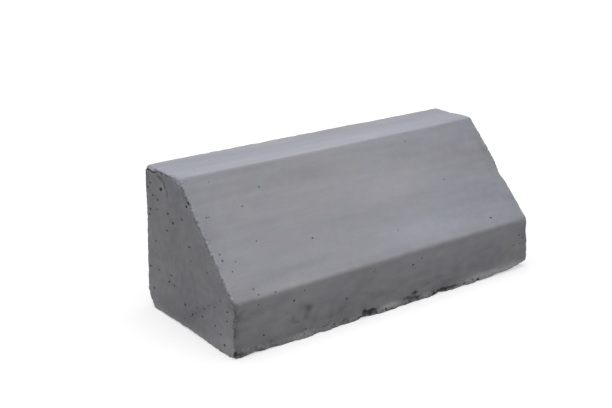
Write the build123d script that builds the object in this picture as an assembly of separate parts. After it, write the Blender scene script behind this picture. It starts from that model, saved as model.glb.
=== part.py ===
"""Precast concrete wheel stop: one solid block, cast upside down in an open mould.

Frame: millimetres, +Z up, origin at the middle of the base. +X runs along the
block, and -Y is the side that the tyre rolls up to: a low lip, then the slope,
then the flat crest. The back is upright, with a bevel at its heel.
"""

import os
from math import radians, tan

from build123d import *

# Driving dimensions, before the edges are rounded.
LENGTH = 400          # along the base, end to end
WIDTH = 160           # across, from the toe of the lip to the back
HEIGHT = 152          # base to crest
CREST_WIDTH = 59      # flat top, from the nose of the slope to the back
LIP_HEIGHT = 56.5     # front face below the slope
LIP_DRAFT = 2         # degrees that the lip leans inwards to leave the mould
END_DRAFT = 0.5       # degrees that each end leans inwards, for the same reason
HEEL_SETBACK = 13     # bevel between base and back, measured along the base
HEEL_RISE = 17        # the same bevel, measured up the back

# Edge radii.
NOSE_RADIUS = 3       # crest to slope
SHOULDER_RADIUS = 6   # slope to lip
ARRIS_RADIUS = 2      # every other edge, from the mould's own corners


def section_corners():
    """The block's section as named (y, z) corners, from the toe round over the crest to the heel."""
    front, back = -WIDTH / 2, WIDTH / 2
    lip_lean = LIP_HEIGHT * tan(radians(LIP_DRAFT))
    return {
        "toe": (front, 0),
        "shoulder": (front + lip_lean, LIP_HEIGHT),
        "nose": (back - CREST_WIDTH, HEIGHT),
        "crest back": (back, HEIGHT),
        "heel back": (back, HEEL_RISE),
        "heel base": (back - HEEL_SETBACK, 0),
    }


def long_edge(block, corner):
    """The edge along X that passes through a corner of the section."""
    y, z = corner
    return block.edges().filter_by(Axis.X).sort_by_distance((0, y, z))[0]


def wheel_stop():
    """The cast block: its section drawn out to length, ends drafted, edges rounded."""
    corners = section_corners()
    with BuildPart() as block:
        with BuildSketch(Plane.YZ):
            with BuildLine():
                Polyline(*corners.values(), close=True)
            make_face()
        extrude(amount=LENGTH / 2, both=True)
        draft(block.faces().filter_by(Axis.X), Plane.XY, END_DRAFT)

        fillet(long_edge(block, corners["nose"]), NOSE_RADIUS)
        fillet(long_edge(block, corners["shoulder"]), SHOULDER_RADIUS)

        ends = block.faces().sort_by(Axis.X)
        arrises = [*ends[0].edges(), *ends[-1].edges()]
        arrises += [long_edge(block, corners[name]) for name in ("toe", "crest back", "heel back", "heel base")]
        fillet(arrises, ARRIS_RADIUS)
    return block.part


os.makedirs("parts", exist_ok=True)
export_step(wheel_stop(), "parts/wheel_stop.step")
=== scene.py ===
import math

import bmesh
import bpy
import numpy as np
from mathutils import Matrix, Vector


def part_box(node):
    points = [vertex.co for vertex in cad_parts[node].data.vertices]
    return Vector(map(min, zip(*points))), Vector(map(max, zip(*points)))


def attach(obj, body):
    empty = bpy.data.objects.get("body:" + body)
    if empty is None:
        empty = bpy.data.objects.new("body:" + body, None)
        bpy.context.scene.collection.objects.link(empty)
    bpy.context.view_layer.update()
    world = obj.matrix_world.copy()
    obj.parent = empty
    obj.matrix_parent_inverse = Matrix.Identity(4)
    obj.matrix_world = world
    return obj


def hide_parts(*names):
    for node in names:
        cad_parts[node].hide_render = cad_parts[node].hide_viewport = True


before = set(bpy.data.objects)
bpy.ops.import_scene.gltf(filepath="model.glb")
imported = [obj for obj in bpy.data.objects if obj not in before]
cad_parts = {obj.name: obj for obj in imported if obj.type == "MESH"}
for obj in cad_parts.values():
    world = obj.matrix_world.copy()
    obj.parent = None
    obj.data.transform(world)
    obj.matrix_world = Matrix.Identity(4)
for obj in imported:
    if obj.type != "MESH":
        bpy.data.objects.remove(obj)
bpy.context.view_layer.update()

# The block is one piece of grey precast concrete. It was poured upside down into a smooth mould, so the
# crest, slope, lip, back and ends are mould faces with air holes in them. The base was the open side, and
# its rim is ragged and broke out in places when the block was struck. It lies under its own weight.

# The mould, in millimetres, from the box of the solid that the block stands for.
MM = 0.001
low, high = (np.array(corner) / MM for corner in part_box("wheel_stop"))
HALF_LENGTH = (high[0] - low[0]) / 2
WIDTH = high[1] - low[1]
HEIGHT = high[2]
CREST_WIDTH = 59
LIP_HEIGHT = 56.5
HEEL_SETBACK = 13
HEEL_RISE = 17
# Degrees that the lip, the left end and the right end lean inwards.
DRAFTS = (2, 1.1, -0.1)
LIP_LEAN, LEFT_LEAN, RIGHT_LEAN = (math.tan(math.radians(draft)) for draft in DRAFTS)

# The corners of the section.
TOE = np.array([0, low[1], 0])
SHOULDER = TOE + LIP_HEIGHT * np.array([0, LIP_LEAN, 1])
CREST_BACK = np.array([0, high[1], HEIGHT])
NOSE = CREST_BACK - [0, CREST_WIDTH, 0]
HEEL_BACK = np.array([0, high[1], HEEL_RISE])
HEEL_BASE = np.array([0, high[1] - HEEL_SETBACK, 0])
SLOPE_LENGTH = np.linalg.norm(NOSE - SHOULDER)
HEEL_LENGTH = np.linalg.norm(HEEL_BACK - HEEL_BASE)

# Each face of the mould has a point, a direction to the right as one looks at it, and one up it.
FACES = {
    "base": (np.zeros(3), (1, 0, 0), (0, -1, 0)),
    "lip": (TOE, (1, 0, 0), (0, LIP_LEAN, 1)),
    "slope": (SHOULDER, (1, 0, 0), (NOSE - SHOULDER) / SLOPE_LENGTH),
    "crest": (NOSE, (1, 0, 0), (0, 1, 0)),
    "back": (HEEL_BACK, (-1, 0, 0), (0, 0, 1)),
    "heel": (HEEL_BASE, (-1, 0, 0), (HEEL_BACK - HEEL_BASE) / HEEL_LENGTH),
    "left": (np.array([-HALF_LENGTH, 0, 0]), (0, -1, 0), (LEFT_LEAN, 0, 1)),
    "right": (np.array([HALF_LENGTH, 0, 0]), (0, 1, 0), (-RIGHT_LEAN, 0, 1)),
}
OUTWARDS = {}
for face, (_, to_right, upwards) in FACES.items():
    normal = np.cross(to_right, upwards)
    OUTWARDS[face] = normal / np.linalg.norm(normal)


def on_face(face, right, up):
    """A point of a face: the face's own point, moved to the right and up along the face."""
    start, to_right, upwards = FACES[face]
    return start + right * np.asarray(to_right) + up * np.asarray(upwards)


def face_measures(points, face):
    """How far points lie to the right, up and outside of a face: their shadows on its three directions."""
    start, to_right, upwards = FACES[face]
    offset = points - start
    return offset @ np.asarray(to_right), offset @ np.asarray(upwards), offset @ OUTWARDS[face]


def outsides(points):
    """How far points lie outside each face: the last of that face's three measures."""
    return {face: face_measures(points, face)[2] for face in FACES}


def body_outside(out):
    """How far points lie outside the section: the largest over the faces that are not ends."""
    return np.max([out[face] for face in FACES if face not in ("left", "right")], axis=0)


def between(ends, share):
    """The value that lies a share of the way from the first end to the second."""
    first, second = ends
    return first + (second - first) * share


# Air that was trapped against the mould left small round holes: right and up on the face, and radius.
AIR_HOLES = {
    "left": [
        (-51.7, 133.8, 2.5), (-29.0, 105.0, 1.8), (-38.3, 112.0, 1.4), (-12.0, 113.5, 1.4),
        (-2.6, 133.6, 1.9), (-5.6, 128.6, 1.3), (0.5, 89.3, 1.2), (3.8, 75.7, 1.1), (-66.2, 123.7, 1.4),
        (-57.5, 121.0, 1.4), (-72.8, 107.3, 1.9), (-74.7, 101.0, 1.6), (-59.2, 110.7, 1.3),
        (-74.5, 44.8, 1.6), (-56.5, 45.7, 1.0), (-37.0, 39.8, 1.5), (-27.8, 39.0, 1.4), (-32.8, 48.2, 1.3),
        (6.3, 19.8, 1.5), (13.0, 24.0, 1.1), (24.7, 24.8, 1.2), (28.0, 34.0, 1.1), (46.3, 42.3, 1.1),
        (67.2, 44.8, 1.1), (67.2, 35.7, 1.2), (57.2, 18.2, 1.4), (47.2, 23.2, 1.2), (63.8, 9.8, 1.8),
        (-67.8, 22.3, 1.3), (33.0, 73.2, 1.0), (-70.3, 135.9, 1.2), (-75.3, 129.8, 1.6), (-7.0, 25.5, 1.3),
        (15.0, 30.5, 0.8), (-40.0, 93.5, 1.2), (-63.0, 75.5, 1.0), (55.5, 52.0, 1.1), (2.2, 16.5, 1.0),
        (18.0, 22.3, 0.8), (34.7, 39.8, 0.8), (38.2, 41.5, 0.7), (-9.3, 9.8, 1.0), (-51.8, 150.9, 1.2),
        (-44.0, 151.0, 1.1), (-34.0, 151.2, 0.9), (-59.0, 150.4, 0.8),
    ],
    "slope": [
        (-113.2, 111.2, 0.9), (-184.5, 91.5, 0.8), (-181.7, 91.3, 0.6), (-141.7, 94.5, 0.85),
        (-165.0, 127.5, 0.6), (-188.7, 45.0, 1.05), (-188.7, 51.5, 0.85), (-175.7, 40.7, 0.7),
        (-183.7, 32.0, 0.75), (-168.5, 2.5, 0.85), (-150.0, 0.5, 0.8), (-171.0, 9.5, 0.75),
        (-82.2, 43.7, 0.95), (-144.5, 55.7, 0.85), (21.2, 27.0, 0.75), (115.5, 70.7, 0.85),
        (149.2, 13.0, 1.15), (91.2, 125.7, 0.8),
    ],
    "lip": [
        (-128.5, 42.5, 1.1), (-115.7, 50.0, 0.8), (-165.2, 16.5, 1.1), (-115.0, 8.8, 1.3),
        (-63.2, 27.5, 1.25), (26.0, 42.5, 1.2), (38.2, 47.0, 0.85), (-27.0, 47.7, 0.9), (186.7, 39.5, 1.0),
        (188.0, 29.5, 1.0), (179.0, 29.5, 1.0), (193.0, 35.7, 1.1), (-170.5, 49.0, 0.75),
        (100.5, 2.2, 1.4), (148.0, 1.8, 1.2), (-198.4, 39.5, 0.7), (-198.4, 36.3, 0.55),
        (-198.4, 32.0, 0.65), (-198.4, 23.5, 0.8),
    ],
}

# The rest come at random: how many a face has, the box that they lie in, and the least and most radius.
STRAY_HOLES = [
    ("left", 26, (-76, 76), (6, 146), (0.4, 0.8)),
    ("right", 52, (-76, 76), (6, 146), (0.6, 1.8)),
    ("back", 56, (-194, 194), (18, 148), (0.6, 1.8)),
    ("lip", 12, (-194, 194), (10, 52), (0.4, 0.8)),
    ("lip", 60, (-194, 198), (0.6, 5), (0.5, 1.1)),
    ("slope", 14, (-194, 194), (6, 130), (0.3, 0.55)),
    ("crest", 8, (-194, 194), (8, 56), (0.4, 0.8)),
]
# A hole counts while its middle lies less than this outside every face.
HOLE_OUTSIDE = 1

draw = np.random.default_rng(seed=7)
holes = []
for face, placed in AIR_HOLES.items():
    holes += [(on_face(face, right, up), radius) for right, up, radius in placed]
for face, count, rights, ups, radii in STRAY_HOLES:
    right = draw.uniform(*rights, count)
    up = draw.uniform(*ups, count)
    radius = between(radii, draw.uniform(size=count) ** 2)
    holes += [(on_face(face, *place), size) for *place, size in zip(right, up, radius)]
holes = [(centre, radius) for centre, radius in holes
         if all(outside < HOLE_OUTSIDE for outside in outsides(centre).values())]

# Knocks took grains off the arrises of both ends: the corners of an end's outline, how many nicks each of its
# sides has, the part of the side that they lie on, and their least and most radius.
END_OUTLINE = [TOE, SHOULDER, NOSE, CREST_BACK, HEEL_BACK, HEEL_BASE]
NICKS = (16, 44, 14, 26, 4, 14)
NICK_PART = (0.03, 0.97)
NICK_RADIUS = (0.4, 1.3)
# The right end of the nose was spared, for this far round its corner.
WHOLE_CORNER = NOSE + [HALF_LENGTH, 0, 0]
SPARED = 14
nicks = []
for side, lean in ((-1, LEFT_LEAN), (1, RIGHT_LEAN)):
    for start, end, count in zip(END_OUTLINE, END_OUTLINE[1:] + END_OUTLINE[:1], NICKS):
        share = draw.uniform(*NICK_PART, count)[:, None]
        place = start + share * (end - start)
        place[:, 0] = side * (HALF_LENGTH - lean * place[:, 2])
        nicks += list(zip(place, draw.uniform(*NICK_RADIUS, count)))
nicks = [(centre, radius) for centre, radius in nicks if np.linalg.norm(centre - WHOLE_CORNER) > SPARED]

# Where the rim of the lip broke out: right and up, half width, half height and depth.
CHIPS = [
    (-39.8, 5.0, 4.4, 5.4, 3.2), (-29.5, 4.8, 8.0, 4.4, 6.0), (-24.0, 2.2, 3.0, 1.8, 2.6),
    (-45.5, 1.5, 4.0, 2.0, 3.0), (30.0, 9.5, 4.0, 3.0, 2.4), (18.0, 6.5, 9.0, 2.2, 1.6),
    (28.0, 3.5, 12.0, 3.6, 1.8), (57.5, 2.2, 3.4, 2.0, 4.2), (69.0, 3.4, 11.0, 3.6, 3.4),
    (85.0, 3.4, 7.0, 1.7, 3.0), (121.5, 2.1, 3.4, 2.5, 4.5), (-5.0, 1.0, 3.2, 1.4, 2.0),
    (-198.5, 4.0, 6.0, 5.5, 2.6), (-194.5, 3.0, 6.5, 4.2, 2.4), (-90.5, 5.0, 5.0, 0.9, 1.2),
    (-172.0, 2.0, 6.0, 1.4, 1.4), (-153.0, 2.2, 4.5, 1.2, 1.4),
]

# A crack under the crest on the left end, as right and up, half width and depth at points along it.
CRACK = np.array([
    (-82.0, 149.4, 1.2, 0.7), (-78.0, 148.5, 1.1, 1.3), (-69.0, 147.9, 1.1, 2.0), (-64.4, 147.6, 1.0, 1.2),
    (-60.0, 149.0, 0.7, 0.5), (-56.0, 150.2, 0.5, 0.1),
])

# Under the crack the left end has flaked off outside a curved edge: the ellipse of that edge as right, up,
# half width and half height.
FLAKE = (-62.5, 126.0, 23.6, 21.2)


def stations(stretches, end, unit):
    """Places along a line: from each start to the next, evenly spaced at about that stretch's own step in
    millimetres, on a line with so many millimetres to its unit."""
    starts = [start for start, _ in stretches] + [end]
    runs = []
    for (start, step), following in zip(stretches, starts[1:]):
        count = max(1, round((following - start) * unit / step))
        runs.append(np.linspace(start, following, count, endpoint=False))
    return np.append(np.concatenate(runs), end)


def grid_quads(numbers, flip):
    """Quads of a grid of vertex numbers: each vertex with the next along its row, its column and both."""
    corners = [numbers[:-1, :-1], numbers[1:, :-1], numbers[1:, 1:], numbers[:-1, 1:]]
    quads = np.stack(corners, -1).reshape(-1, 4)
    return quads[:, ::-1] if flip else quads


def mould_lattice(along, across, up):
    """The skin of a cuboid lattice drawn to the mould: x is a share of the drafted half length at each
    height, y a share of the way from the lip and slope to the back at that height, z the height itself."""
    on_skin = np.ones((len(along), len(across), len(up)), bool)
    on_skin[1:-1, 1:-1, 1:-1] = False
    column, row, layer = np.nonzero(on_skin)
    numbers = np.zeros(on_skin.shape, int)
    numbers[on_skin] = np.arange(len(layer))
    z = up[layer]
    front = np.interp(z, [0, LIP_HEIGHT, HEIGHT], [TOE[1], SHOULDER[1], NOSE[1]])
    back = np.interp(z, [0, HEEL_RISE], [HEEL_BASE[1], HEEL_BACK[1]])
    x = along[column] * (HALF_LENGTH - np.where(along[column] < 0, LEFT_LEAN, RIGHT_LEAN) * z)
    y = front + across[row] * (back - front)
    quads = np.concatenate([
        grid_quads(numbers[0], True), grid_quads(numbers[-1], False),
        grid_quads(numbers[:, 0], False), grid_quads(numbers[:, -1], True),
        grid_quads(numbers[:, :, 0], True), grid_quads(numbers[:, :, -1], False),
    ])
    return np.stack([x, y, z], 1), quads


# Where the lattice takes up a new step, and that step in millimetres. Along and across, the places are shares
# of the half length and of the way from front to back. The steps are finer near the edges.
ALONG_STEPS = [(-1, 1.5), (-0.97, 3.0), (0.97, 1.5)]
ACROSS_STEPS = [(0, 1.2), (0.04, 3.6), (0.96, 1.2)]
UP_STEPS = [(0, 1.2), (12, 2.6), (50, 1.2), (61, 2.8), (146, 0.8)]
vertices, quads = mould_lattice(
    stations(ALONG_STEPS, 1, HALF_LENGTH), stations(ACROSS_STEPS, 1, WIDTH), stations(UP_STEPS, HEIGHT, 1))
mesh = bpy.data.meshes.new("cast_block")
mesh.from_pydata(vertices, [], quads)

# How near a detail the mesh is cut finer: over the rim of the base and on both sides of the crack in reaches,
# and round a chip as a share of its ellipse.
RIM_REACHES = 3
CRACK_REACHES = 2
CHIP_SHARE = 1.2
# Each round of cuts takes edges longer than the first value, within the second of a detail.
FINER = [(1.8, 2.6), (1.0, 1.4), (0.7, 0.8)]


def ellipse_spread(right, up, ellipse):
    """How far places lie from the middle of an ellipse, as a share of its half width and half height."""
    middle_right, middle_up, wide, tall = ellipse
    return np.hypot((right - middle_right) / wide, (up - middle_up) / tall)


def near_detail(points, reach):
    """Whether points lie within reach of an air hole, a nick, a chip, the crack, the flake's edge, the
    rim of the base or an arris of an end."""
    out = outsides(points)
    ends = np.maximum(out["left"], out["right"])
    near = (ends > -reach) & (body_outside(out) > -reach)
    near |= (out["base"] > -RIM_REACHES * reach) & (np.maximum(out["lip"], ends) > -reach)
    for centre, radius in holes + nicks:
        near |= ((points - centre) ** 2).sum(1) < (radius + reach) ** 2
    right, up, outside = face_measures(points, "lip")
    for chip_right, chip_up, wide, tall, _ in CHIPS:
        spread = ellipse_spread(right, up, (chip_right, chip_up, wide + reach, tall + reach))
        near |= (spread < CHIP_SHARE) & (outside > -reach)
    right, up, outside = face_measures(points, "left")
    near_crack = (right < CRACK[-1, 0] + reach) & (np.abs(up - CRACK[1, 1]) < CRACK_REACHES * reach)
    _, flake_up, _, flake_tall = FLAKE
    near_flake = (np.abs(ellipse_spread(right, up, FLAKE) - 1) * flake_tall < reach) & (up > flake_up)
    return near | ((near_crack | near_flake) & (outside > -reach))


def read_places(mesh):
    """The vertices of a mesh as an array of three columns."""
    places = np.empty(len(mesh.vertices) * 3)
    mesh.vertices.foreach_get("co", places)
    return places.reshape(-1, 3)


def refine(mesh, longest, reach):
    """Cuts in two each edge that is longer than this and has its middle within reach of a detail."""
    pairs = np.empty(len(mesh.edges) * 2, int)
    mesh.edges.foreach_get("vertices", pairs)
    first, second = read_places(mesh)[pairs.reshape(-1, 2).T]
    chosen = np.linalg.norm(second - first, axis=1) > longest
    chosen &= near_detail((first + second) / 2, reach)
    shape = bmesh.new()
    shape.from_mesh(mesh)
    shape.edges.ensure_lookup_table()
    edges = [shape.edges[number] for number in np.flatnonzero(chosen)]
    bmesh.ops.subdivide_edges(shape, edges=edges, cuts=1, use_grid_fill=True)
    shape.to_mesh(mesh)
    shape.free()


for longest, reach in FINER:
    refine(mesh, longest, reach)
sharp = read_places(mesh)
sharp_out = outsides(sharp)
sharp_body = body_outside(sharp_out)


def lumps(points, size, seed):
    """Smooth random field from -1 to 1: random values at the nodes of a lattice of this size, blended
    inside each cell by 3t^2 - 2t^3 along each axis, so that a lump is about one cell across."""
    cell = points / size
    corner = np.floor(cell).astype(int)
    share = cell - corner
    share = share * share * (3 - 2 * share)
    corner -= corner.min(0)
    nodes = np.random.default_rng(seed).uniform(-1, 1, corner.max(0) + 2)
    total = np.zeros(len(points))
    for step in np.ndindex(2, 2, 2):
        weight = np.prod(np.where(step, share, 1 - share), 1)
        total += weight * nodes[tuple((corner + step).T)]
    return total


def layered(layers):
    """Lumps over the sharp block, summed over layers, each of which has a strength, a size and a seed."""
    return sum(strength * lumps(sharp, size, seed) for strength, size, seed in layers)


def smooth_step(start, end, value):
    """0 before start, 1 after end, and 3t^2 - 2t^3 between them."""
    t = np.clip((value - start) / (end - start), 0, 1)
    return t * t * (3 - 2 * t)


def around(places):
    """A sum over places of a strength that is whole at the place and falls, by smooth steps along each axis,
    to nothing at its reach."""
    total = np.zeros(len(sharp))
    for strength, place, reach in places:
        far = np.abs((sharp - place) / reach)
        total += strength * np.prod(1 - smooth_step(0, 1, far), axis=1)
    return total


def opening(first, second, radius):
    """The meeting that a round of this radius needs: the radius times one less the cosine between faces."""
    return radius * (1 - OUTWARDS[first] @ OUTWARDS[second])


# The skin has a slow ripple, and broken edges are frayed and gritty: layers as strength, size and seed.
RIPPLE = [(0.3, 55, 11), (0.1, 9, 12)]
FRAY = [(1, 2.6, 13)]
GRIT = [(1, 1.3, 17)]
ripple = layered(RIPPLE)
fray = layered(FRAY)
grit = layered(GRIT)

# Radii of the edges, a little under those of the solid, and the lumps in an arris as shares of its radius.
# The back edge of the crest has more, in millimetres, over a span of distances outside its two faces.
NOSE_RADIUS = 2.6
SHOULDER_RADIUS = 5
ARRIS_RADIUS = 1.2
ARRIS_LUMPS = [(0.5, 5, 14), (0.4, 2, 19)]
CREST_BACK_LUMPS = [(1.8, 7, 29)]
CREST_BACK_SPAN = (-5, -1)
# Corners that wore rounder: the radius gained, the place, and its reach along each axis.
WORN_CORNERS = [
    (0.3, (-HALF_LENGTH, high[1], HEIGHT), (20, 20, 8)),
    (2.0, (-HALF_LENGTH, NOSE[1] - 2, HEIGHT - 3), (20, 18, 16)),
    (2.0, (-HALF_LENGTH, TOE[1], 1), (9, 9, 8)),
    (1.9, (HALF_LENGTH, TOE[1], 7), (9, 9, 8)),
]
# The two corners of the shoulder wore by shares of a gain, and the shoulder's own round with them.
WORN_SHOULDER = [
    (0.6, (HALF_LENGTH, SHOULDER[1], LIP_HEIGHT), (30, 24, 20)),
    (0.4, (-HALF_LENGTH, SHOULDER[1], LIP_HEIGHT - 7), (16, 16, 16)),
]
SHOULDER_CORNER_GAIN = 3
SHOULDER_ROUND_GAIN = 3.5
# The right end of the nose kept most of its sharp arrises, and the nose gets rounder over a length up to it.
PROUD_NOSE = [(1, (HALF_LENGTH, NOSE[1] + 4, HEIGHT), (60, 32, 18))]
PROUD_NOSE_KEPT = 0.75
NOSE_ROUND_GAIN = 0.9
NOSE_ROUND_LENGTH = 40
proud_nose = around(PROUD_NOSE)
worn_shoulder = around(WORN_SHOULDER)
along_crest_back = smooth_step(*CREST_BACK_SPAN, sharp_out["crest"])
along_crest_back *= smooth_step(*CREST_BACK_SPAN, sharp_out["back"])
arris = ARRIS_RADIUS * (1 + layered(ARRIS_LUMPS)) + around(WORN_CORNERS)
arris += SHOULDER_CORNER_GAIN * worn_shoulder
arris += np.maximum(layered(CREST_BACK_LUMPS), 0) * along_crest_back
arris *= 1 - PROUD_NOSE_KEPT * proud_nose
near_right = smooth_step(HALF_LENGTH - NOSE_ROUND_LENGTH, HALF_LENGTH, sharp[:, 0])
nose_round = opening("crest", "slope", NOSE_RADIUS) * (1 + NOSE_ROUND_GAIN * near_right)
shoulder_round = opening("lip", "slope", SHOULDER_RADIUS) * (1 + SHOULDER_ROUND_GAIN * worn_shoulder)

# How far each end lies back from the mould. Its arrises are chattered, and the rest is its own damage. A span
# gives where something starts and where it is whole, measured up or to the right on the end or outwards.
CHATTER = [(0.42, 3.5, 23), (0.42, 1.8, 28)]
CHATTER_SPAN = (-4, -0.5)
ARRIS_SPAN = (-14, -2)
chatter = sum(np.maximum(layered([layer]), 0) for layer in CHATTER) * smooth_step(*CHATTER_SPAN, sharp_body)
near_slope = smooth_step(*ARRIS_SPAN, sharp_out["slope"])
near_lip = smooth_step(*ARRIS_SPAN, sharp_out["lip"])

# The left end has more chatter along the slope. It stands proud under the crack, as far as the flake, and has
# worn back along the upper slope, along the lip and at the corner of the shoulder.
SLOPE_CHATTER = 1.8
LEFT_PROUD = 1.2
LEFT_PROUD_UP = (95, 140)
LEFT_PROUD_END = (-76, -48)
FLAKE_DEPTH = 1.0
FLAKE_FRAY = 0.03
FLAKE_RISE = (-0.15, 0.4)
FLAKE_START = (-62, -54)
FLAKE_EDGE = (0.96, 1.05)
FLAKE_END = (0, 25)
LEFT_SLOPE_WORN = 1.1
LEFT_SLOPE_UP = (66, 84)
LEFT_LIP_WORN = 0.9
LEFT_LOST = [(4.2, (-HALF_LENGTH, SHOULDER[1], LIP_HEIGHT - 7.5), (30, 15, 9.5))]
_, flake_up, _, flake_tall = FLAKE
right, up, _ = face_measures(sharp, "left")
flake_spread = ellipse_spread(right, up, FLAKE) + FLAKE_FRAY * fray
flake_side = smooth_step(*FLAKE_RISE, (up - flake_up) / flake_tall) * smooth_step(*FLAKE_START, right)
flaked = smooth_step(*FLAKE_EDGE, flake_spread) * flake_side * (1 - smooth_step(*FLAKE_END, right))
left_proud = smooth_step(*LEFT_PROUD_UP, up) * (1 - smooth_step(*LEFT_PROUD_END, right))
left_dent = (1 + SLOPE_CHATTER * near_slope) * chatter + FLAKE_DEPTH * flaked - LEFT_PROUD * left_proud
left_dent += LEFT_SLOPE_WORN * near_slope * smooth_step(*LEFT_SLOPE_UP, up)
left_dent += LEFT_LIP_WORN * near_lip + around(LEFT_LOST)

# The right end stands proud under the crest and at its foot. It has worn back along the middle of the slope
# and at the nose, and has two spalls.
RIGHT_CREST_PROUD = 0.7
RIGHT_CREST_UP = (92.3, 132.3)
RIGHT_FOOT_PROUD = 2.0
RIGHT_FOOT_UP = (-3.7, 38.3)
RIGHT_SLOPE_WORN = 1.7
RIGHT_SLOPE_UP = (54.3, 66.3)
RIGHT_SLOPE_END = (97.3, 117.3)
RIGHT_LOST = [
    (1.8, (HALF_LENGTH, NOSE[1], HEIGHT), (30, 24, 22)),
    (1.9, (HALF_LENGTH, -33, 100), (30, 15, 13)),
    (1.5, (HALF_LENGTH, -79, 44), (30, 24, 14)),
]
_, up, _ = face_measures(sharp, "right")
right_worn = near_slope * smooth_step(*RIGHT_SLOPE_UP, up) * (1 - smooth_step(*RIGHT_SLOPE_END, up))
right_dent = (1 - proud_nose) * chatter + RIGHT_SLOPE_WORN * right_worn + around(RIGHT_LOST)
right_dent -= RIGHT_CREST_PROUD * smooth_step(*RIGHT_CREST_UP, up)
right_dent -= RIGHT_FOOT_PROUD * (1 - smooth_step(*RIGHT_FOOT_UP, up))

# Where paste was pushed out over the foot of the lip, as a low flare: right, half width, height and how far.
# Its edges along and up are shares of its half width and height, frayed by shares too.
FLARES = [(-119, 15, 7, 1.4), (-88, 6, 6, 1.1), (-8, 15, 8, 0.9), (46, 7, 7, 0.7), (148, 54, 10, 1.3)]
FLARE_ALONG = (0.7, 1.0)
FLARE_ALONG_FRAY = 0.1
FLARE_UP = (0.2, 1.0)
FLARE_UP_FRAY = 0.15
FLARE_GRIT = 0.3
right, up, _ = face_measures(sharp, "lip")
flare = np.zeros(len(sharp))
for flare_right, wide, tall, stands_out in FLARES:
    along_foot = 1 - smooth_step(*FLARE_ALONG, np.abs(right - flare_right) / wide + FLARE_ALONG_FRAY * fray)
    up_foot = 1 - smooth_step(*FLARE_UP, up / tall + FLARE_UP_FRAY * fray)
    flare = np.maximum(flare, stands_out * along_foot * up_foot * (1 + FLARE_GRIT * grit))

# The mould was not quite true. The slope rises to the right at the shoulder, and less up to the nose. The
# crest falls to the right and to the back. The nose stands high at its right end and low at its left, and the
# heel bulges.
SHOULDER_RISE = (-0.5, 0.9)
SHOULDER_RISE_ALONG = (-HALF_LENGTH, 0.6 * HALF_LENGTH)
CREST_FALL = 0.6
CREST_FALL_ALONG = (-20, 120)
CREST_FALL_ACROSS = (25, high[1])
PROUD_NOSE_RISE = 1.1
LOW_NOSE = [(1.3, (-HALF_LENGTH, NOSE[1], HEIGHT), (44, 24, 24))]
HEEL_BULGE = 1.0
slope_rise = between(SHOULDER_RISE, smooth_step(*SHOULDER_RISE_ALONG, sharp[:, 0]))
slope_rise *= 1 - smooth_step(LIP_HEIGHT, HEIGHT, sharp[:, 2])
slope_rise += PROUD_NOSE_RISE * proud_nose - around(LOW_NOSE)
crest_fall = smooth_step(*CREST_FALL_ALONG, sharp[:, 0]) * smooth_step(*CREST_FALL_ACROSS, sharp[:, 1])
crest_fall = CREST_FALL * crest_fall - PROUD_NOSE_RISE * proud_nose
_, up, _ = face_measures(sharp, "heel")
heel_bulge = HEEL_BULGE * np.sin(np.pi * np.clip(up / HEEL_LENGTH, 0, 1))

# How far the rim of the base lies above the floor: all round by lumps, and where it was left high or low when
# the open side was floated, as right, half width and lift. It fades inwards over a depth.
RIM_LIFT = 0.1
RIM_LUMPS = [(0.4, 9, 15), (0.45, 4, 16)]
RIM_WAVES = {
    "lip": [
        (-196, 3, 0.7), (-176, 9, 1.5), (-160, 6, 0.9), (-152, 3.5, 0.7), (-139, 8, -0.5), (-129, 2.5, 0.9),
        (-112, 8, -0.8), (-100, 5, 0.6), (-88, 6, -0.7), (-70, 6, 0.5), (-62, 4, -0.5), (-41, 6, 1.6),
        (-34, 4, 0.5), (29, 7, 0.5), (42, 3, 0.7), (64, 7, 1.4), (72, 4, 0.7), (100, 3, 0.7), (125, 20, 0.9),
        (152, 12, 1.0),
    ],
    "left": [(-15, 36, 1.0)],
}
RIM_WAVE_SPAN = (-12, -2)
RIM_DEPTH = 9
rim_lift = np.maximum(RIM_LIFT + layered(RIM_LUMPS), 0)
for face, waves in RIM_WAVES.items():
    right, _, outside = face_measures(sharp, face)
    for wave_right, wide, lift in waves:
        rim_lift += lift * np.exp(-((right - wave_right) / wide) ** 2) * smooth_step(*RIM_WAVE_SPAN, outside)
rim_lift = np.maximum(rim_lift, 0)

# The right end of the toe curls up off the floor: how high, over what length, with what power of the
# distance, and from where to where across the block it fades out.
TOE_LIFT = 6.6
TOE_LENGTH = 64
TOE_POWER = 1.5
TOE_ACROSS = (-80, -30)
# The left end lost its corner at the crest, over the crack, and at the nose: how far down the end and how far
# in along the block each flat cut goes. The first fades in across the block: elsewhere it is moved off it.
CREST_CUT = (2.2, 2.6)
CREST_CUT_ACROSS = (54, 67)
CREST_CUT_AWAY = 8
CREST_CUT_ROUND = 0.8
NOSE_CUT = (5.6, 8.0)
NOSE_CUT_ROUND = 1.5
# The rounds at the heel and at the base, as shares of an arris.
HEEL_ROUND = 1.3
BASE_ROUND = 0.4
crest_uncut = 1 - smooth_step(*CREST_CUT_ACROSS, sharp[:, 1])


def meeting(first, second, radius):
    """The larger of two distances with a round meeting: where both are within the radius of their face,
    the length of the two overlaps replaces the larger one."""
    overlap = np.hypot(np.maximum(first + radius, 0), np.maximum(second + radius, 0))
    return np.minimum(np.maximum(first, second), -radius) + overlap


def cut_outside(end_out, edge_out, down, inwards):
    """Distance outside a flat cut that takes so much down the end and so much inwards along an edge: each
    distance times its own size, plus the product of the sizes, over the length of the slant."""
    return (down * end_out + inwards * edge_out + down * inwards) / math.hypot(down, inwards)


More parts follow.
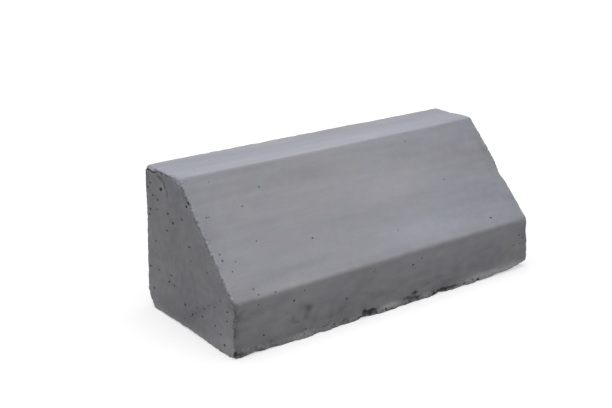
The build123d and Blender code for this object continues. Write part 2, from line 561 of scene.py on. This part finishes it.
def skin_distance(points):
    """Distance outside the cast skin: the largest of the distances to the faces of the mould, with round
    meetings, first round the section, with the base lifted along its rim and at the right of the toe, then
    at the ends, and last at the two lost corners of the left end, plus the ripple."""
    out = outsides(points)
    out["lip"] -= flare
    out["slope"] -= slope_rise
    out["crest"] += crest_fall
    out["heel"] -= heel_bulge
    ends = np.maximum(out["left"] + left_dent, out["right"] + right_dent)
    inset = -np.maximum(np.maximum(out["lip"], out["heel"]), ends)
    curl = np.maximum(points[:, 0] - HALF_LENGTH + TOE_LENGTH, 0) / TOE_LENGTH
    curl = curl ** TOE_POWER * (1 - smooth_step(*TOE_ACROSS, points[:, 1]))
    lift = rim_lift * np.exp(-(inset / RIM_DEPTH) ** 2) + TOE_LIFT * curl
    section = meeting(out["lip"], out["slope"], shoulder_round)
    section = meeting(section, out["crest"], nose_round)
    section = meeting(section, out["back"], arris)
    section = meeting(section, out["heel"], HEEL_ROUND * arris)
    section = meeting(section, out["base"] + lift, BASE_ROUND * arris)
    skin = meeting(section, ends, arris)
    crest_cut = cut_outside(out["left"], out["crest"], *CREST_CUT) - CREST_CUT_AWAY * crest_uncut
    skin = meeting(skin, crest_cut, CREST_CUT_ROUND)
    nose_out = (out["crest"] + out["slope"]) / np.linalg.norm(OUTWARDS["crest"] + OUTWARDS["slope"])
    skin = meeting(skin, cut_outside(out["left"], nose_out, *NOSE_CUT), NOSE_CUT_ROUND)
    return skin + ripple


# Every vertex starts outside and goes straight in to the skin, along the blend of the normals of the faces
# near it.
BLEND = 3
START = 6
STEPS = 40
PACE = 0.7
weights = np.exp(np.minimum(np.stack(list(sharp_out.values()), 1) / BLEND, 0))
outward = weights @ np.stack(list(OUTWARDS.values()))
outward /= np.linalg.norm(outward, axis=1)[:, None]
cast = sharp + START * outward
for _ in range(STEPS):
    cast -= PACE * skin_distance(cast)[:, None] * outward

# Air holes and nicks are bowls with uneven rims, with painted shade inside. A hole is a little wider than it
# is high, and its painted shade is darker when it is larger. Depths are shares of the radius.
FLATTENED = (0.94, 0.94, 1.2)
HOLE_FRAY = 0.25
HOLE_DEPTH = 1.1
HOLE_SHADE = 0.4
HOLE_SHADE_PER_MM = 0.35
NICK_FRAY = 0.6
NICK_GRIT = 0.3
NICK_DEPTH = 0.9
NICK_SHADE = 0.38
BOWL_DARK = (0, 0.7)


def bowl(offset, radius):
    """Depth of a round bowl as a share: the root of one less the squared distance from its middle, in
    radii."""
    return np.sqrt(np.maximum(1 - (np.linalg.norm(offset, axis=1) / radius) ** 2, 0))


painted_hollow_shade = np.zeros(len(cast))
for centre, radius in holes:
    dip = bowl((sharp - centre) * FLATTENED, radius * (1 + HOLE_FRAY * fray))
    cast -= (HOLE_DEPTH * radius * dip)[:, None] * outward
    shade = min(HOLE_SHADE + HOLE_SHADE_PER_MM * radius, 1)
    painted_hollow_shade = np.maximum(painted_hollow_shade, shade * smooth_step(*BOWL_DARK, dip))
for centre, radius in nicks:
    dip = bowl(cast - centre, radius * (1 + NICK_FRAY * fray + NICK_GRIT * grit))
    cast -= (NICK_DEPTH * radius * dip)[:, None] * outward
    painted_hollow_shade = np.maximum(painted_hollow_shade, NICK_SHADE * smooth_step(*BOWL_DARK, dip))

# Chips go into the lip, ragged round the edge and gritty inside, deeper under their upper edge and with
# painted shade inside that is darker there, over a thin sill of what is left of the rim. Only what lies
# within a skin's depth of the face is touched.
SKIN_DEPTH = 1
CHIP_LUMPS = [(0.3, 6, 18)]
CHIP_FRAY = 0.5
CHIP_GRIT = 0.35
CHIP_RAGGED = 0.5
CHIP_EDGE = (0, 0.5)
CHIP_LIMIT = 1.6
CHIP_TOP = (-0.8, 0.8)
CHIP_DEPTH = (0.4, 1)
CHIP_SHADE = (0.48, 0.84)
CHIP_SHADE_LUMPS = [(0.4, 2.4, 24)]
CHIP_SHADE_DEPTH = (0, 4)
CHIP_DARKEST = 0.95
SILL_UP = (0.3, 1.8)
SILL_DEPTH = (0.15, 1)
BROKEN_EVEN = 0.8
BROKEN_GRIT = 0.25
right, up, outside = face_measures(sharp, "lip")
on_skin = outside > -SKIN_DEPTH
ragged = CHIP_FRAY * fray + CHIP_GRIT * grit + layered(CHIP_LUMPS)
shade_lumps = layered(CHIP_SHADE_LUMPS)
broken = np.zeros(len(cast))
shaded = np.zeros(len(cast))
for *ellipse, deep in CHIPS:
    _, chip_up, _, tall = ellipse
    spread = ellipse_spread(right, up, ellipse)
    share = smooth_step(*CHIP_EDGE, 1 - spread + CHIP_RAGGED * ragged) * (spread < CHIP_LIMIT)
    under_top = smooth_step(*CHIP_TOP, (up - chip_up) / tall)
    broken = np.maximum(broken, deep * share * between(CHIP_DEPTH, under_top))
    shade = smooth_step(*CHIP_SHADE_DEPTH, deep) * (between(CHIP_SHADE, under_top) + shade_lumps)
    shaded = np.maximum(shaded, share * shade)
broken *= on_skin * between(SILL_DEPTH, smooth_step(*SILL_UP, up)) * (BROKEN_EVEN + BROKEN_GRIT * grit)
cast -= broken[:, None] * OUTWARDS["lip"]
painted_hollow_shade = np.maximum(painted_hollow_shade, np.clip(shaded, 0, CHIP_DARKEST) * on_skin)

# The crack is a narrow ragged groove with painted shade in it, and the flake's edge a thin line of painted
# shadow that grows fainter downwards.
CRACK_FRAY = 0.5
CRACK_EDGE = (0.4, 1.0)
CRACK_SHADE = 0.8
CRACK_SHADE_FRAY = 0.25
CRACK_SHADE_DEPTH = (0, 0.9)
LINE_WIDTH = 1.1
LINE_SHADE = (0.45, 0.7)
LINE_SHADE_UP = (136, 146)
LINE_SHADE_FRAY = 0.2
right, up, outside = face_measures(sharp, "left")
on_skin = outside > -SKIN_DEPTH
line, wide, deep = (np.interp(right, CRACK[:, 0], column) for column in CRACK[:, 1:].T)
groove = 1 - smooth_step(*CRACK_EDGE, np.abs(up - line + CRACK_FRAY * fray) / wide)
groove *= on_skin & (right < CRACK[-1, 0])
cast -= (deep * groove)[:, None] * OUTWARDS["left"]
shade = smooth_step(*CRACK_SHADE_DEPTH, deep) * (CRACK_SHADE + CRACK_SHADE_FRAY * fray)
painted_hollow_shade = np.maximum(painted_hollow_shade, groove * shade)
flake_shadow_line = np.exp(-((flake_spread - 1) * flake_tall / LINE_WIDTH) ** 2) * flake_side * on_skin
shade = between(LINE_SHADE, smooth_step(*LINE_SHADE_UP, up)) + LINE_SHADE_FRAY * fray
painted_hollow_shade = np.maximum(painted_hollow_shade, shade * flake_shadow_line)

cast[:, 2] = np.maximum(cast[:, 2], 0)
mesh.vertices.foreach_set("co", (cast * MM).ravel())
mesh.shade_smooth()
mesh.update()
block = bpy.data.objects.new("cast_block", mesh)
bpy.context.scene.collection.objects.link(block)

# Stains and paler patches, and some painted shade and a painted highlight: right and up on the face, half
# width, half height, rise to the right, and how much darker (or, below nothing, paler) the concrete is there.
STAINS_AND_PAINTED_SHADE = {
    "slope": [
        (25, 82, 62, 24, 0, -0.11), (45, 18, 62, 14, 0, -0.11), (10, 18, 110, 18, 0, -0.05),
        (-130, 117, 75, 13, 0, 0.065), (172, 100, 38, 42, 0, 0.10), (172, 38, 26, 15, 0, 0.09),
        (-100, 133, 75, 6, -0.03, 0.08), (-178, 117, 30, 14, 0, 0.05), (90, 110, 60, 8, -0.1, 0.08),
        (-190, 78, 11, 30, 0, 0.13), (197, 90, 12, 26, 0, 0.16), (-178, 9, 22, 8, 0, 0.10),
        (-135, 4, 45, 5, 0, -0.08), (-150, 14, 30, 2.6, 0.14, 0.09), (-95, 20.3, 36, 2.4, 0.05, 0.10),
        (-25, 56.3, 40, 1.9, -0.01, 0.08), (-140, 103.5, 42, 2, 0, -0.06), (-28, 34.5, 14, 1.6, 0, -0.05),
        (38, 29.5, 18, 1.8, 0, 0.05), (192, 27, 10, 10, 0, 0.12), (20, 116, 190, 14, 0, 0.04),
        (-20, 28, 170, 24, 0, -0.035), (-124, 71, 20, 2.6, 0.03, 0.08), (-192, 129, 9, 9, 0, 0.11),
        (75, 60.5, 26, 1.8, -0.04, 0.06), (-5, 103.7, 28, 1.6, 0.02, 0.06),
    ],
    "crest": [
        # The second spot on the crest is a painted highlight: a thin pale line along the rounded nose.
        (-20, 11, 190, 13, 0, -0.10), (-40, 1.5, 150, 2.4, 0, -0.10), (0, 40, 230, 13, 0, 0.06),
        (180, 14, 30, 22, 0, 0.08), (180, 50, 24, 8, 0, 0.1), (-178, 47, 28, 8, 0, 0.06),
        (-196.5, 15, 5, 7, 0, 0.15),
    ],
    "lip": [
        # The dark lip spots with their middle 2.2 mm up or less are painted shade along the broken rim, in
        # chips and in a pit.
        (0, 14, 240, 11, 0, 0.13), (60, 30, 130, 13, 0, 0.07), (115, 25, 45, 9, 0, 0.06),
        (-65, 28, 32, 9, 0, 0.07), (-114, 32.5, 7, 3.2, -0.15, 0.32), (-111.5, 28.5, 4, 4.5, 0, 0.32),
        (-114.5, 21.5, 4, 4, 0, 0.3), (-121, 31, 3, 4, 0, 0.15), (-129.5, 23.5, 1.8, 3.5, 0, 0.3),
        (-125, 19.6, 5, 1.6, -0.25, 0.3), (-68, 18, 14, 8, 0.1, 0.09), (-120, 10, 5, 5, 0, 0.1),
        (-71.5, 19, 4, 2, 0.2, 0.15), (-84, 14, 4, 1.8, 0, 0.15), (-65, 4.5, 6, 2, 0, 0.2),
        (-36, 2.0, 9, 2.2, 0, 0.35), (12, 30, 6, 2, -0.2, 0.12), (-5.5, 26, 4, 2, 0, 0.12),
        (81, 26, 7, 1.8, -0.3, 0.12), (101, 21.5, 14, 1.6, -0.4, 0.12), (155, 27, 5, 7, 0, 0.1),
        (-42, 28, 14, 2, -0.2, 0.06), (72, 1.5, 11, 1.6, 0, 0.35), (-118, 4, 20, 3.6, 0, -0.2),
        (-175, 20, 12, 4, 0, 0.08), (-172, 42, 32, 9, 0, 0.07), (-188.5, 47.3, 4.5, 2.2, 0, 0.25),
        (-194.5, 43, 5, 3, 0, 0.25), (-186.5, 38.3, 9, 1.8, -0.3, 0.25), (-183, 43.5, 9, 1.6, -0.15, 0.1),
        (-198, 28, 4, 26, 0, 0.33), (-189, 30, 11, 22, 0, 0.09), (-196, 5, 7, 6, 0, 0.05),
        (-160, 9, 14, 4, 0, 0.1), (-151, 7.5, 6, 1.8, 0, 0.12), (48.5, 16.5, 3.5, 1.8, -0.2, 0.2),
        (64, 20.5, 4, 1.4, -0.25, 0.15), (68, 15.5, 5, 1.4, -0.2, 0.1), (109, 13.5, 6, 1.6, -0.1, 0.08),
        (20, 7, 10, 2.2, -0.1, 0.25), (30, 11, 4, 2.6, 0, 0.4), (26, 4, 12, 4, 0, 0.22),
        (70, 6, 16, 5, 0, 0.3), (-4, 5.2, 17, 2.9, 0, -0.62), (-5.5, 1.8, 6, 1.8, 0, 0.5),
        (-17, 1.6, 4, 1.6, 0, -0.4), (45, 3.5, 6, 3.4, 0, -0.3), (125, 5, 25, 4, 0, -0.4),
        (172, 6, 24, 5, 0, -0.4), (140, 27, 20, 12, 0, 0.06), (196, 40, 8, 12, 0, 0.2),
        (110, 1.5, 8, 1.8, 0, 0.3), (121.5, 1.4, 3, 1.8, 0, 0.8), (146, 2.2, 5, 2, 0, 0.25),
        (18, 1.2, 5, 1.4, 0, 0.3), (-49, 6.5, 7, 4, 0, -0.16),
    ],
    # The dark left spot at right -78, up 142 is painted shade beside the crack.
    "left": [
        (66, 10, 26, 18, 0, -0.3), (40, 3, 36, 9, 0.1, -0.12), (72, 42, 12, 16, 0, -0.12),
        (-68, 22, 14, 30, 0, -0.13), (-48, 52, 9, 8, 0, -0.12), (-4, 46, 22, 20, 0, 0.08),
        (12, 24, 18, 8, 0.5, 0.14), (-30, 90, 15, 11, 0, 0.07), (-50, 62, 14, 4, 0.1, 0.07),
        (-12, 126, 14, 10, 0, 0.07), (-74, 90, 10, 60, 0, -0.08), (-20, 140, 14, 8, 0, 0.05),
        (-8, 8, 16, 8, 0, 0.07), (-15, 2, 75, 4.5, 0, -0.28), (-44, 131, 7, 10, 0, -0.16),
        (24, 5, 14, 6, 0, -0.2), (-51, 3, 14, 5, 0, -0.15), (-32, 55, 8, 9, 0, -0.13),
        (-78, 142, 4.5, 11, 0, 0.4), (-24, 132, 12, 13, 0, 0.05), (74, 41, 3.5, 5, 0, 0.22),
    ],
}
# Bluer patches in the same form.
COOL_PATCHES = {
    "slope": [
        (90, 22, 85, 20, 0, 0.4), (150, 58, 45, 16, 0, 0.25), (180, 130, 30, 12, 0, 0.3),
        (190, 16, 28, 22, 0, 0.3), (-60, 100, 150, 40, 0, -0.17),
    ],
    "crest": [(0, 50, 240, 8, 0, -0.22)],
    "lip": [(-160, 28, 40, 14, 0, 0.1), (120, 30, 40, 15, 0, 0.15), (90, 46, 110, 8, 0, 0.15)],
    "left": [(-15, 138, 18, 12, 0, 0.3), (25, 45, 30, 20, 0, 0.2)],
}
# A spot belongs to its face by this span of distances outside it. Its edge is uneven by a share of the spot,
# in lumps of a size.
FACE_SPAN = (-3, -0.5)
UNEVEN = 0.3
UNEVEN_SIZE = 6


def blots(spots_by_face, seed):
    """Soft spots summed over the faces: strength times e to the minus squared spread, where the spread is
    the distance from the spot's line in its half widths, and lumps make its edge uneven."""
    total = np.zeros(len(sharp))
    uneven = layered([(UNEVEN, UNEVEN_SIZE, seed)])
    for face, spots in spots_by_face.items():
        right, up, outside = face_measures(sharp, face)
        on_this = smooth_step(*FACE_SPAN, outside)
        for spot_right, spot_up, wide, tall, rise, strength in spots:
            off = right - spot_right
            spread = np.hypot(off / wide, (up - spot_up - rise * off) / tall) + uneven
            total += strength * on_this * np.exp(-np.maximum(spread, 0) ** 2)
    return total


# Upright faces are mottled, and the lip has painted shade along its broken rim with a paler band just over
# it. The lumps of both are drawn out along the block, by shrinking X before they are read.
MOTTLE = 0.11
MOTTLE_SIZE = 4
MOTTLE_SHRUNK = (0.5, 1, 1)
PATCHY_SHRUNK = (0.3, 1, 1)
RIM_SHADE = 0.21
RIM_SHADE_PATCHY = 0.18
RIM_SHADE_UP = (0.5, 2.2)
RIM_PALE = 0.2
RIM_PALE_UP = (1.5, 3)
RIM_PALE_END = (5, 9)
_, up, outside = face_measures(sharp, "lip")
on_lip = smooth_step(*FACE_SPAN, outside)
mottle = lumps(sharp * MOTTLE_SHRUNK, MOTTLE_SIZE, seed=25)
patchy = lumps(sharp * PATCHY_SHRUNK, MOTTLE_SIZE, seed=26)
stain_and_painted_shade = blots(STAINS_AND_PAINTED_SHADE, seed=21) + MOTTLE * mottle * (1 - np.abs(outward[:, 2]))
# Painted shade along the foot of the lip, over its broken rim.
stain_and_painted_shade += on_lip * (1 - smooth_step(*RIM_SHADE_UP, up)) * (RIM_SHADE + RIM_SHADE_PATCHY * patchy)
pale_band = smooth_step(*RIM_PALE_UP, up) * (1 - smooth_step(*RIM_PALE_END, up))
stain_and_painted_shade -= RIM_PALE * on_lip * pale_band * np.maximum(patchy, 0)

# Where the skin of the mould is broken the sand shows as speckle: along the rim, on the arrises of the ends
# and at the lost corner of the nose.
RIM_SPECKLE = 0.8
RIM_SPECKLE_END = (3, 12)
RIM_SPECKLE_PATCHY = 3
ARRIS_SPECKLE = 0.85
ARRIS_SPECKLE_SPAN = (-7, -1)
CORNER_SPECKLE = [(0.9, (-HALF_LENGTH, NOSE[1], HEIGHT), (18, 18, 18))]
ends_out = np.maximum(sharp_out["left"], sharp_out["right"])
near_rim = 1 - smooth_step(*RIM_SPECKLE_END, up + RIM_SPECKLE_PATCHY * patchy)
near_arris = smooth_step(*ARRIS_SPECKLE_SPAN, ends_out) * smooth_step(*ARRIS_SPECKLE_SPAN, sharp_body)
rough = np.maximum(RIM_SPECKLE * on_lip * near_rim, ARRIS_SPECKLE * near_arris)
rough = np.maximum(rough, around(CORNER_SPECKLE))

# Upright faces are a little blue, and the more a face looks up the bluer it is, as painted sky light from
# above.
UPRIGHT_COOL = 0.12
UP_FACING_SKY_TINT = 0.55
cool_and_sky_tint = UPRIGHT_COOL + UP_FACING_SKY_TINT * np.maximum(outward[:, 2], 0) ** 2 + blots(COOL_PATCHES, seed=22)
for attribute, values in {"painted_hollow_shade": painted_hollow_shade, "stain_and_painted_shade": stain_and_painted_shade, "cool_and_sky_tint": cool_and_sky_tint, "rough": rough}.items():
    mesh.attributes.new(attribute, "FLOAT", "POINT").data.foreach_set("value", values.astype(np.float32))


def linear(code):
    """Linear colour of an sRGB hex value: (c + 0.055) / 1.055 to the power 2.4, or c / 12.92 when dark."""
    parts = [int(code[place:place + 2], 16) / 255 for place in (1, 3, 5)]
    return (*(c / 12.92 if c <= 0.04045 else ((c + 0.055) / 1.055) ** 2.4 for c in parts), 1)


def node(tree, kind, inputs, **settings):
    """Adds a node with its settings; each input is a plain value or the output that feeds it."""
    made = tree.nodes.new(kind)
    for name, value in settings.items():
        setattr(made, name, value)
    for socket, value in inputs.items():
        if isinstance(value, bpy.types.NodeSocket):
            tree.links.new(value, made.inputs[socket])
        else:
            made.inputs[socket].default_value = value
    return made


# Cast concrete with a mould finish: a matt grey cement skin, a little bluer where it faces up by painted sky
# light, clouded where the paste lay thicker, streaked along the mould, and fine sand grain all over.
PASTE = "#a8a7aa"
COOL_PASTE = "#a3a6b3"
# The colour of the painted shade in holes, nicks, chips, the crack and along the flake's edge.
PAINTED_SHADE_COLOUR = "#2e2e30"
# Each pattern: size of a lump in mm, how much it is drawn out along X, and how far it swings the tone. The
# sand grain is really under 1 mm, and is drawn coarser so that it shows. Noise keeps to the middle half of
# its range, so the whole range is given twice the swing.
PATTERNS = [(70, 1.5, 0.04), (16, 4, 0.04), (7, 12, 0.04), (1.6, 1, 0.05)]
PATTERN_DETAIL = 2.0
WHOLE_RANGE = 2
SPECKLE_SIZE = 3.0
SPECKLE_SWING = 0.75
TINT_SIZE = 55
TINT_SWING = 0.3
SOFT_DETAIL = 1.0
ROUGHNESS = (0.82, 0.94)
GRAIN_RELIEF = 0.2
GRAIN_STRENGTH = 0.25
CONCRETE_IOR = 1.5
concrete = bpy.data.materials.new("cast_concrete")
concrete.use_nodes = True
tree = concrete.node_tree
tree.nodes.clear()
places = node(tree, "ShaderNodeTexCoord", {}).outputs["Object"]
amount = {name: node(tree, "ShaderNodeAttribute", {}, attribute_name=name).outputs["Fac"]
          for name in ("painted_hollow_shade", "stain_and_painted_shade", "cool_and_sky_tint", "rough")}
# Stains darken the paste, and so does the painted shade along the rim of the lip and at chips and pits.
tone = node(tree, "ShaderNodeMath", {0: 1.0, 1: amount["stain_and_painted_shade"]}, operation="SUBTRACT").outputs[0]
for size, drawn_out, swing in PATTERNS:
    stretch = (1 / (size * MM * drawn_out), 1 / (size * MM), 1 / (size * MM))
    spot = node(tree, "ShaderNodeMapping", {"Vector": places, "Scale": stretch}).outputs[0]
    grain = node(tree, "ShaderNodeTexNoise", {"Vector": spot, "Scale": 1.0, "Detail": PATTERN_DETAIL})
    grain = grain.outputs["Fac"]
    centred = node(tree, "ShaderNodeMapRange",
                   {"Value": grain, "To Min": -WHOLE_RANGE * swing, "To Max": WHOLE_RANGE * swing})
    tone = node(tree, "ShaderNodeMath", {0: tone, 1: centred.outputs[0]}, operation="ADD").outputs[0]
stretch = (1 / (SPECKLE_SIZE * MM),) * 3
spot = node(tree, "ShaderNodeMapping", {"Vector": places, "Scale": stretch}).outputs[0]
speckle = node(tree, "ShaderNodeTexNoise", {"Vector": spot, "Scale": 1.0, "Detail": SOFT_DETAIL})
speckle = node(tree, "ShaderNodeMapRange",
               {"Value": speckle.outputs["Fac"], "To Min": -SPECKLE_SWING, "To Max": SPECKLE_SWING})
speckle = node(tree, "ShaderNodeMath", {0: speckle.outputs[0], 1: amount["rough"]}, operation="MULTIPLY")
tone = node(tree, "ShaderNodeMath", {0: tone, 1: speckle.outputs[0]}, operation="ADD").outputs[0]
tint = node(tree, "ShaderNodeTexNoise",
            {"Vector": places, "Scale": 1 / (TINT_SIZE * MM), "Detail": SOFT_DETAIL})
tint = node(tree, "ShaderNodeMapRange",
            {"Value": tint.outputs["Fac"], "To Min": -TINT_SWING, "To Max": TINT_SWING})
cooler = node(tree, "ShaderNodeMath", {0: amount["cool_and_sky_tint"], 1: tint.outputs[0]}, operation="ADD").outputs[0]
paste = node(tree, "ShaderNodeMix", {"Factor": cooler, 6: linear(PASTE), 7: linear(COOL_PASTE)},
             data_type="RGBA", clamp_factor=False)
toned = node(tree, "ShaderNodeVectorMath", {0: paste.outputs[2], "Scale": tone}, operation="SCALE").outputs[0]
colour = node(tree, "ShaderNodeMix", {"Factor": amount["painted_hollow_shade"], 6: toned, 7: linear(PAINTED_SHADE_COLOUR)},
              data_type="RGBA")
smoothest, roughest = ROUGHNESS
roughness = node(tree, "ShaderNodeMapRange", {"Value": grain, "To Min": smoothest, "To Max": roughest})
relief = node(tree, "ShaderNodeBump",
              {"Height": grain, "Strength": GRAIN_STRENGTH, "Distance": GRAIN_RELIEF * MM})
shader = node(tree, "ShaderNodeBsdfPrincipled", {
    "Base Color": colour.outputs[2], "Roughness": roughness.outputs[0], "Normal": relief.outputs[0],
    "IOR": CONCRETE_IOR})
node(tree, "ShaderNodeOutputMaterial", {"Surface": shader.outputs[0]})
block.data.materials.append(concrete)

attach(block, "root")
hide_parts("wheel_stop")

# The floor is a wide pale matt sheet. It bounces soft light up at the block and holds its shadow, and seen
# directly it also glows, less near the block than far from it.
FLOOR_REACH = 6.0
SHEET = "#c4c4c4"
WHITE = "#ffffff"
GLOW_NEAR, GLOW_FAR = 0.35, 1.6
LEAST_GLOW, FULL_GLOW = 0.6, 1.0


def seen_directly(tree):
    """1 for a ray that the camera sees, straight, mirrored or through a clear thing, and 0 for any other:
    the largest of three marks of the light path."""
    path = node(tree, "ShaderNodeLightPath", {}).outputs
    seen = path["Is Camera Ray"]
    for mark in ("Is Glossy Ray", "Is Transmission Ray"):
        seen = node(tree, "ShaderNodeMath", {0: seen, 1: path[mark]}, operation="MAXIMUM").outputs[0]
    return seen


sheet = bpy.data.meshes.new("floor")
corners = [(x * FLOOR_REACH, y * FLOOR_REACH, 0) for x, y in ((-1, -1), (1, -1), (1, 1), (-1, 1))]
sheet.from_pydata(corners, [], [(0, 1, 2, 3)])
floor = bpy.data.objects.new("floor", sheet)
bpy.context.scene.collection.objects.link(floor)
pale = bpy.data.materials.new("pale_sheet")
pale.use_nodes = True
tree = pale.node_tree
tree.nodes.clear()
spot = node(tree, "ShaderNodeTexCoord", {}).outputs["Object"]
distance = node(tree, "ShaderNodeVectorMath", {0: spot}, operation="LENGTH").outputs["Value"]
lit = node(tree, "ShaderNodeMapRange", {
    "Value": distance, "From Min": GLOW_NEAR, "From Max": GLOW_FAR,
    "To Min": LEAST_GLOW, "To Max": FULL_GLOW})
strength = node(tree, "ShaderNodeMath", {0: seen_directly(tree), 1: lit.outputs[0]}, operation="MULTIPLY")
matt = node(tree, "ShaderNodeBsdfDiffuse", {"Color": linear(SHEET)})
glow = node(tree, "ShaderNodeEmission", {"Color": linear(WHITE), "Strength": strength.outputs[0]})
both = node(tree, "ShaderNodeAddShader", {0: matt.outputs[0], 1: glow.outputs[0]})
node(tree, "ShaderNodeOutputMaterial", {"Surface": both.outputs[0]})
sheet.materials.append(pale)

# Soft studio light: one wide lamp overhead, a little behind the block, and a weak even fill. Seen directly,
# the room around is white.
LAMP_WIDTH = 2.8
LAMP_POWER = 48
LAMP_PLACE = (0, 0.05, 2.1)
LAMP_TILT = math.radians(-1.4)
FILL = 0.08
lamp = bpy.data.lights.new("overhead", "AREA")
lamp.shape = "DISK"
lamp.size = LAMP_WIDTH
lamp.energy = LAMP_POWER
overhead = bpy.data.objects.new("overhead", lamp)
overhead.location = LAMP_PLACE
overhead.rotation_euler = (LAMP_TILT, 0, 0)
bpy.context.scene.collection.objects.link(overhead)

world = bpy.data.worlds.new("studio")
bpy.context.scene.world = world
world.use_nodes = True
tree = world.node_tree
tree.nodes.clear()
strength = node(tree, "ShaderNodeMapRange", {"Value": seen_directly(tree), "To Min": FILL, "To Max": 1.0})
glow = node(tree, "ShaderNodeBackground", {"Color": linear(WHITE), "Strength": strength.outputs[0]})
node(tree, "ShaderNodeOutputWorld", {"Surface": glow.outputs[0]})

# The camera stands in front of the lip and to the left, and looks down at the block. Its turn round the
# block, its height over it and its own roll are in degrees, its distance and shifts in metres.
VIEW_ANGLES = (-37.4689, 19.4354, 0.6673)
AZIMUTH, ELEVATION, ROLL = (math.radians(angle) for angle in VIEW_ANGLES)
FOCAL_PIXELS = 1145.5
FRAME_WIDTH = 612
SENSOR_WIDTH = 36
DISTANCE, ASIDE, ABOVE = 1.25299, -0.0430, 0.0875
level_back = Vector((math.sin(AZIMUTH), -math.cos(AZIMUTH), 0))
back = math.cos(ELEVATION) * level_back + math.sin(ELEVATION) * Vector((0, 0, 1))
level = Vector((math.cos(AZIMUTH), math.sin(AZIMUTH), 0))
upright = back.cross(level)
rightwards = math.cos(ROLL) * level + math.sin(ROLL) * upright
upwards = math.cos(ROLL) * upright - math.sin(ROLL) * level
view = bpy.data.cameras.new("camera")
view.sensor_width = SENSOR_WIDTH
view.lens = FOCAL_PIXELS * SENSOR_WIDTH / FRAME_WIDTH
camera = bpy.data.objects.new("camera", view)
turn = Matrix((rightwards, upwards, back)).transposed().to_4x4()
turn.translation = DISTANCE * back + ASIDE * rightwards + ABOVE * upwards
camera.matrix_world = turn
bpy.context.scene.collection.objects.link(camera)
bpy.context.scene.camera = camera
bpy.context.scene.view_settings.view_transform = "Standard"
